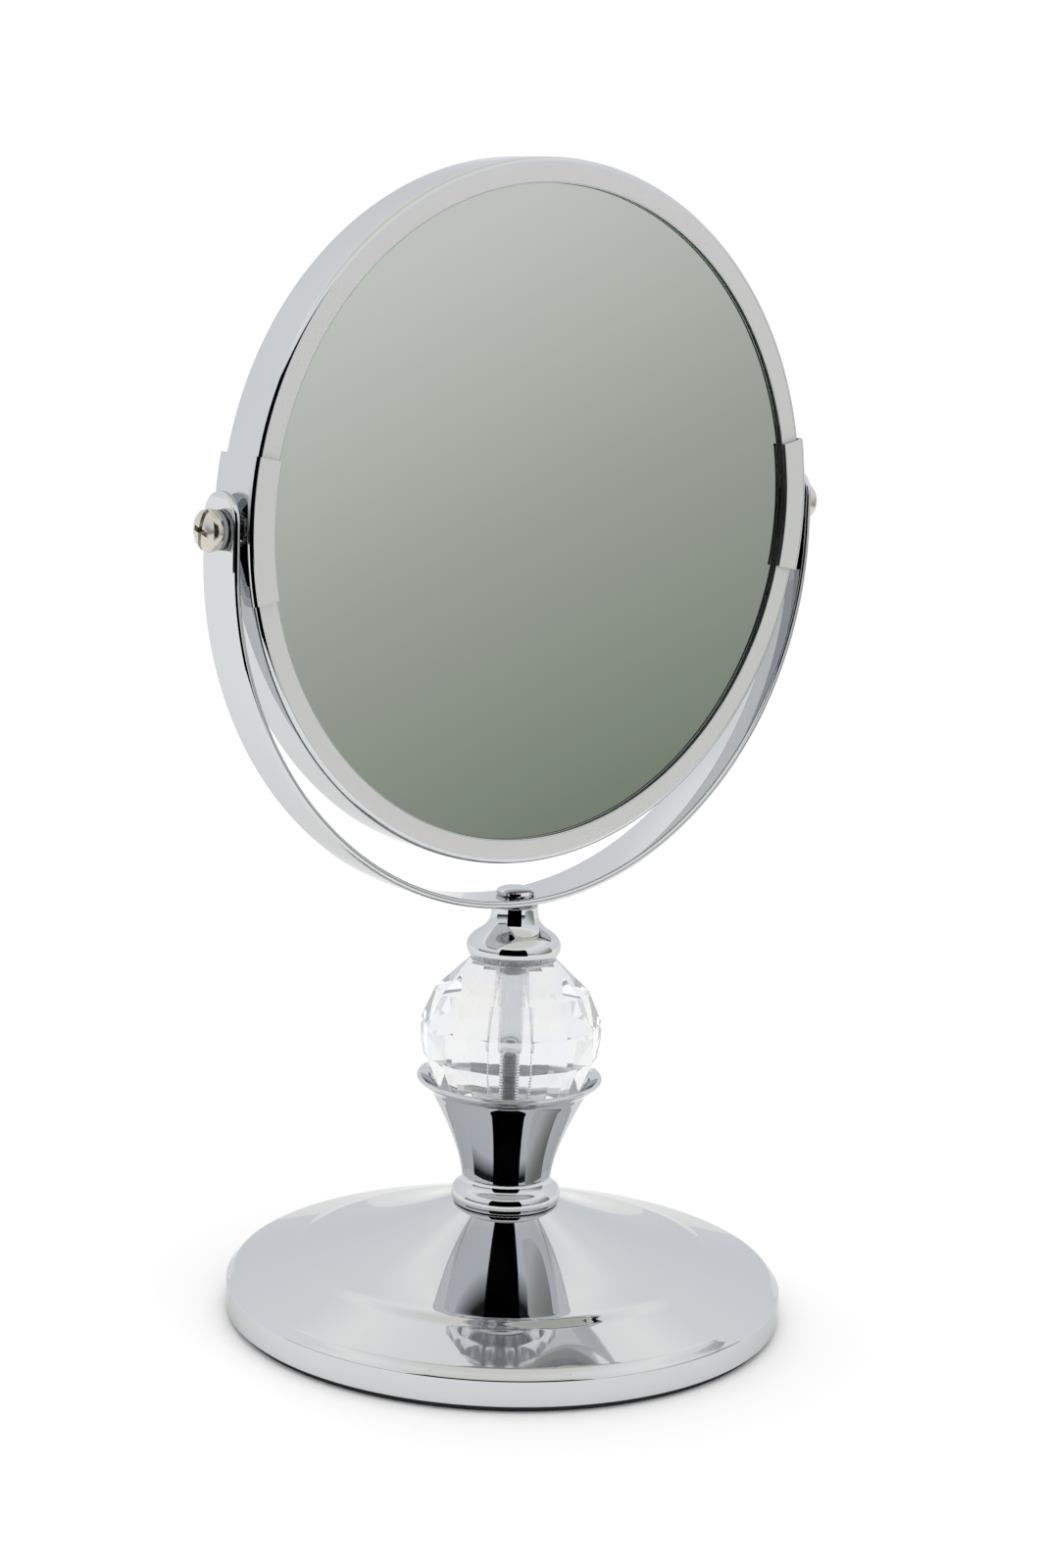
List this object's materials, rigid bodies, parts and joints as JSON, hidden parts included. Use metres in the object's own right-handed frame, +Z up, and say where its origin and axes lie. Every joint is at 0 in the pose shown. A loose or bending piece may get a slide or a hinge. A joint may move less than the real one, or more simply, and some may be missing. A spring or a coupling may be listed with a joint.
{
  "type": "tabletop vanity mirror",
  "caption": "Free-standing two-sided round vanity mirror that tilts in a U-shaped yoke, on a chrome and faceted crystal stem with a weighted round base.",
  "frame": {"origin": "centre of the base pad's underside, on the surface the mirror stands on", "axes": "+Z up the stem, X along the tilt axis, -Y the way the plain mirror faces"},
  "size_m": [0.1882, 0.14, 0.287],
  "materials": {
    "chrome": "polished, mirror bright",
    "nickel": "satin nickel plate",
    "steel": "zinc plate",
    "mirror_glass": "silvered glass with a slight green-grey tint",
    "crystal": "clear, polished facets",
    "nylon": "satin",
    "board": "plain pressed board",
    "iron": "as cast",
    "pad": "matt black foam rubber"
  },
  "bodies": {
    "stand": {"base_pad": "pad", "base_cover": "steel", "base_weight": "iron", "base_shell": "chrome", "base_washer": "steel", "base_nut": "steel", "stem_stud": "steel", "stem_cup": "chrome", "ball_gasket": "nylon", "crystal_ball": "crystal", "ball_insert": "steel", "bell_cap": "chrome", "yoke": "chrome", "yoke_bolt": "chrome", "pivot_washer_left": "nylon", "pivot_washer_right": "nylon"},
    "head": {"frame_ring": "chrome", "front_mirror": "mirror_glass", "backing_board": "board", "rear_mirror": "mirror_glass", "edge_spacer": "board", "clip_left": "chrome", "clip_right": "chrome", "pivot_nut_left": "steel", "pivot_nut_right": "steel", "pivot_screw_left": "nickel", "pivot_screw_right": "nickel"}
  },
  "joints": [
    {"name": "head_tilt", "type": "hinge", "parent": "stand", "child": "head", "pos_m": [0, 0, 0.202], "axis": [1, 0, 0], "continuous": true}
  ]
}
